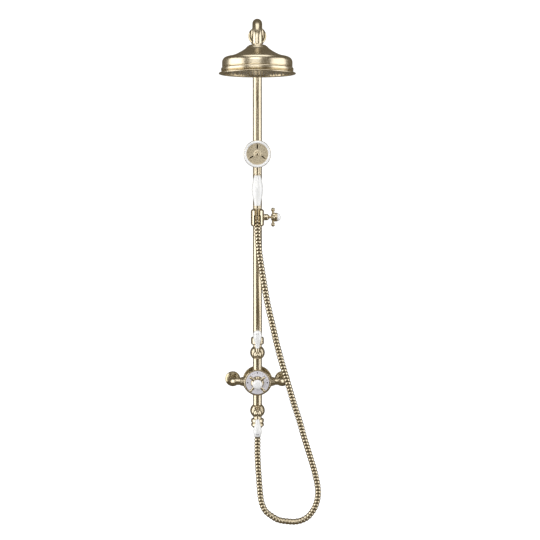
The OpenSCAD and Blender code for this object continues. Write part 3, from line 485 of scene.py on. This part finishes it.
def band_radius(place):
    """The hose's radius at a place along it, counted in bands: a crowned band, then a groove."""
    phase = place % 1.0
    half = abs(phase - 0.5) * 2  # 0 at the band's crown, 1 in the groove
    if half < 1 - GROOVE_SHARE:
        crown = half / (1 - GROOVE_SHARE)
        return BAND_RADIUS - CROWN * crown * crown
    dip = (half - (1 - GROOVE_SHARE)) / GROOVE_SHARE
    return BAND_RADIUS - CROWN - GROOVE_DEPTH * math.sin(dip * math.pi / 2)


def hose_piece(name, first, last):
    """A ridged length of hose from band number first to band number last."""
    rings, centres = [], []
    count = (last - first) * RINGS_PER_BAND
    for i in range(count + 1):
        place = first + i / RINGS_PER_BAND
        here = point_at(place * pitch)
        ahead = point_at(min(place * pitch + TANGENT_REACH, hose_whole))
        behind = point_at(max(place * pitch - TANGENT_REACH, 0.0))
        way = (ahead - behind).normalized()
        across = way.cross(Vector((0, 1, 0))).normalized()
        over = way.cross(across)
        radius = band_radius(place)
        rings.append([
            here + radius * (math.cos(a) * across + math.sin(a) * over)
            for a in (2 * math.pi * k / HOSE_SIDES for k in range(HOSE_SIDES))
        ])
        centres.append(here)
    points = [p for ring in rings for p in ring]
    n = HOSE_SIDES
    faces = [
        (i * n + k, i * n + (k + 1) % n, (i + 1) * n + (k + 1) % n, (i + 1) * n + k)
        for i in range(count) for k in range(n)
    ]
    faces.append(tuple(range(n - 1, -1, -1)))
    faces.append(tuple(count * n + k for k in range(n)))
    mesh = bpy.data.meshes.new(name)
    mesh.from_pydata([tuple(p) for p in points], [], faces)
    mesh.update()
    piece = bpy.data.objects.new(name, mesh)
    bpy.context.scene.collection.objects.link(piece)
    mesh.materials.append(brass_hose)
    mesh.materials.append(brass_groove_painted_shade)
    # Faces in the grooves take the second, darker material, which paints the shade between the
    # bands.
    for i in range(count):
        middle = (i + 0.5) / RINGS_PER_BAND % 1.0
        if abs(middle - 0.5) * 2 > 1 - GROOVE_SHARE:
            for k in range(n):
                mesh.polygons[i * n + k].material_index = 1
    smooth_by_angle(piece, 50)
    return piece, centres


lower_hose, lower_line = hose_piece("ridged_hose_lower", 0, join_pitch)
upper_hose, upper_line = hose_piece("ridged_hose_upper", join_pitch, pitches)
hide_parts("hose_lower")
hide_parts("hose_upper")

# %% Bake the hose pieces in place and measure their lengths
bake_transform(lower_hose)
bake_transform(upper_hose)
along(lower_line)[-1]
along(upper_line)[-1]

# %% [markdown]
# ## The dial's marks
# The thermostat's dial is an enamelled ring. Small fired dots on it show the settings:
# larger ones at its sides and top, and small ones between. Each dot is a
# flattened ball, modelled once per size and copied round the ring.

# %% Dots on the dial
dial_low, dial_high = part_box("dial_ring")
dial_front = dial_low.y
dial_radius = (dial_high.x - dial_low.x) / 2
DOT_RING = dial_radius * 0.85
LARGE_DOT = 0.0021
SMALL_DOT = 0.0010
DOT_FLATNESS = 0.22
LARGE_DOTS_AT = (0, 90, 180)
SMALL_DOT_STEP = 15


def dot(angle, radius):
    turn = math.radians(angle)
    bpy.ops.mesh.primitive_uv_sphere_add(
        segments=20, ring_count=10, radius=radius,
        location=(DOT_RING * math.cos(turn), dial_front, DOT_RING * math.sin(turn)),
    )
    piece = bpy.context.object
    piece.scale = (1, DOT_FLATNESS, 1)
    apply_place(piece)
    return piece


deselect_all()
dots = [dot(angle, LARGE_DOT) for angle in LARGE_DOTS_AT]
dots += [
    dot(angle, SMALL_DOT)
    for angle in range(SMALL_DOT_STEP, 180, SMALL_DOT_STEP) if angle not in LARGE_DOTS_AT
]
dial_marks = join(dots, "dial_marks")
dial_marks.data.materials.append(mark_dark)
smooth_by_angle(dial_marks)
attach(dial_marks, "column")

# %% [markdown]
# ## Bars on the levers
# Each porcelain lever carries one plain grey bar, fired into its glaze near the wide end.
# It is a small grid in the bar's outline, projected onto the lever's front so that it
# follows the curve, lifted by a hair and given a thickness.

# %% A fired bar on each lever
BAR_LONG = 0.0105
BAR_TALL = 0.0021
BAR_FROM_TIP = 0.0095
BAR_COLUMNS, BAR_ROWS = 26, 6
BAR_AHEAD = 0.004  # the flat bar starts this far in front of the lever
BAR_LIFT = 0.00006
BAR_THICKNESS = 0.00012


def lever_bar(node, name, body, tip_up):
    low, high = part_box(node)
    middle_z = high.z - BAR_FROM_TIP if tip_up else low.z + BAR_FROM_TIP
    bpy.ops.mesh.primitive_grid_add(
        x_subdivisions=BAR_COLUMNS, y_subdivisions=BAR_ROWS, size=1, location=(0, 0, 0)
    )
    bar = bpy.context.object
    bar.scale = (BAR_LONG, BAR_TALL, 1)
    apply_place(bar)
    end_radius = BAR_TALL / 2
    inset = BAR_LONG / 2 - end_radius
    for vertex in bar.data.vertices:
        x, z = vertex.co.x, vertex.co.y
        if abs(x) > inset:
            room = math.sqrt(max(end_radius ** 2 - (abs(x) - inset) ** 2, 0))
            z *= room / end_radius
        vertex.co = (x, low.y - BAR_AHEAD, middle_z + z)
    apply_modifier(
        bar, "SHRINKWRAP", target=nodes[node], wrap_method="PROJECT", use_project_y=True,
        use_negative_direction=True, use_positive_direction=True, offset=BAR_LIFT,
    )
    apply_modifier(bar, "SOLIDIFY", thickness=BAR_THICKNESS, offset=0.0)
    bar.name = name
    bar.data.name = name
    bar.data.materials.append(mark_grey)
    smooth_by_angle(bar)
    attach(bar, body)



lever_bar("rose_lever", "rose_lever_bar", "rose_control", True)
lever_bar("hand_lever", "hand_lever_bar", "hand_control", False)

# %% [markdown]
# ## Nozzles
# The rose sprays through soft nozzles pressed into its plate, which can be rubbed clean of
# scale. One small tapered cup is modelled and copied into each hole.

# %% Nozzles under the rose
plate_low, plate_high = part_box("rose_spray_plate")
rose_axis = (plate_low + plate_high) / 2
RING_COUNT = 5
RING_FIRST = 0.018
RING_PITCH = 0.016
CUPS_PER_RING = 6  # in the first ring; each further ring has this many more
CUP_BASE = 0.0017
CUP_TIP = 0.0011
CUP_TALL = 0.0022
CUP_SUNK = 0.0002  # how far its base goes up into the plate


def nozzle_cup(name, base, tip, tall):
    """A small hollow cup that hangs below zero height."""
    deselect_all()
    bpy.ops.mesh.primitive_cone_add(
        vertices=12, radius1=tip, radius2=base, depth=tall, location=(0, 0, -tall / 2)
    )
    cup = bpy.context.object
    cup.name = name
    bpy.ops.object.mode_set(mode="EDIT")
    edit = bmesh.from_edit_mesh(cup.data)
    for face in edit.faces:
        face.select_set(face.normal.z < -0.9)
    bmesh.update_edit_mesh(cup.data)
    bpy.ops.mesh.inset(thickness=tip * 0.45)
    bpy.ops.transform.translate(value=(0, 0, tall * 0.6))
    bpy.ops.object.mode_set(mode="OBJECT")
    apply_place(cup)
    return cup


def copies(piece, places, name):
    """One object made of a copy of the piece at each place."""
    made = []
    for place in places:
        copy = piece.copy()
        copy.data = piece.data.copy()
        bpy.context.scene.collection.objects.link(copy)
        copy.data.transform(Matrix.Translation(place))
        made.append(copy)
    bpy.data.objects.remove(piece)
    return join(made, name)


rose_cup = nozzle_cup("rose_cup", CUP_BASE, CUP_TIP, CUP_TALL)
rose_places = []
for ring in range(1, RING_COUNT + 1):
    radius = RING_FIRST + (ring - 1) * RING_PITCH
    cups = CUPS_PER_RING * ring
    for turn in (2 * math.pi * k / cups for k in range(cups)):
        rose_places.append((
            rose_axis.x + radius * math.cos(turn),
            rose_axis.y + radius * math.sin(turn),
            plate_low.z + CUP_SUNK,
        ))
rose_nozzles = copies(rose_cup, rose_places, "rose_nozzles")
rose_nozzles.data.materials.append(rubber_nozzle)
smooth_by_angle(rose_nozzles)
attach(rose_nozzles, "rose")
print("nozzles under the rose:", len(rose_places))

# %% [markdown]
# ## The studio
# The floor is plain and pale, and it curves up behind the shower so that no corner shows.
# It is kept out of mirror images, so that the brass's edges mirror the dim room beside it
# and read dark against it. Two tall soft lights stand left and right and make the bright
# lines on the tubes, and the unlit room in front makes the dark line between them.

# %% Floor and sweep
FLOOR_Z = cad_low[2] - 0.03
FLOOR_HALF = 7.0
FLOOR_FRONT = -7.0
WALL_Y = 6.5
WALL_TOP = 5.0
SWEEP_RADIUS = 0.8
sweep_bend = [math.radians(a) for a in range(0, 91, 9)]
profile = [(FLOOR_FRONT, 0.0)]
profile += [
    (WALL_Y + SWEEP_RADIUS * (math.sin(a) - 1), SWEEP_RADIUS * (1 - math.cos(a)))
    for a in sweep_bend
]
profile += [(WALL_Y, WALL_TOP)]
sweep = bpy.data.meshes.new("studio_floor")
sweep.from_pydata(
    [(x, y, FLOOR_Z + z) for y, z in profile for x in (-FLOOR_HALF, FLOOR_HALF)], [],
    [(2 * i, 2 * i + 1, 2 * i + 3, 2 * i + 2) for i in range(len(profile) - 1)],
)
floor = bpy.data.objects.new("studio_floor", sweep)
bpy.context.scene.collection.objects.link(floor)
smooth_by_angle(floor, 60)
floor.visible_glossy = False
floor.visible_diffuse = False
floor_paint, _, floor_shader = new_material("floor_paint")
set_inputs(floor_shader, {
    "Base Color": (0.86, 0.86, 0.86, 1), "Roughness": 0.9,
    "Emission Color": (1, 1, 1, 1), "Emission Strength": 0.8,
})
sweep.materials.append(floor_paint)

# %% The room's brightness
PALE_SEEN = 1.0  # brightness of the room where the camera sees it
PALE_MATT = 0.40  # its brightness on matt and white surfaces
DIM_STRENGTH = 0.15  # its brightness in mirror images
world = bpy.data.worlds.new("studio_world")
bpy.context.scene.world = world
world.use_nodes = True
room = world.node_tree
dim_room = room.nodes["Background"]
set_inputs(dim_room, {"Color": (1.0, 0.86, 0.62, 1), "Strength": DIM_STRENGTH})
pale_room = add_node(room, "ShaderNodeBackground", {"Color": (1, 1, 1, 1)})
rays = add_node(room, "ShaderNodeLightPath")
seen_or_matt = add_node(room, "ShaderNodeMath", operation="MAXIMUM")
pale_strength = add_node(
    room, "ShaderNodeMath", {1: PALE_SEEN - PALE_MATT, 2: PALE_MATT}, operation="MULTIPLY_ADD"
)
room_mix = add_node(room, "ShaderNodeMixShader")
for start, end in (
    (rays.outputs["Is Camera Ray"], seen_or_matt.inputs[0]),
    (rays.outputs["Is Diffuse Ray"], seen_or_matt.inputs[1]),
    (rays.outputs["Is Camera Ray"], pale_strength.inputs[0]),
    (pale_strength.outputs["Value"], pale_room.inputs["Strength"]),
    (seen_or_matt.outputs["Value"], room_mix.inputs[0]),
    (dim_room.outputs["Background"], room_mix.inputs[1]),
    (pale_room.outputs["Background"], room_mix.inputs[2]),
    (room_mix.outputs["Shader"], room.nodes["World Output"].inputs["Surface"]),
):
    room.links.new(start, end)

# %% Soft lights
LIGHTS = {  # each one's place, what it faces, its width and height in metres, and its watts
    "soft_left": ((-2.0, -1.15, 0.45), (0, -1.15, 0.45), 2.4, 3.2, 50),
    "soft_right": ((2.0, -1.15, 0.45), (0, -1.15, 0.45), 2.4, 3.2, 40),
    "soft_front": ((-0.35, -3.2, 1.95), (-0.1, -0.1, 1.2), 1.8, 1.5, 22),
    "soft_top": ((0, -0.9, 3.0), (0, -0.2, 0.4), 2.0, 1.6, 16),
}
for name, (place, aim, width, height, power) in LIGHTS.items():
    data = bpy.data.lights.new(name, "AREA")
    data.shape = "RECTANGLE"
    data.size = width
    data.size_y = height
    data.energy = power
    lamp = bpy.data.objects.new(name, data)
    bpy.context.scene.collection.objects.link(lamp)
    lamp.location = place
    lamp.rotation_euler = (Vector(aim) - Vector(place)).to_track_quat("-Z", "Y").to_euler()
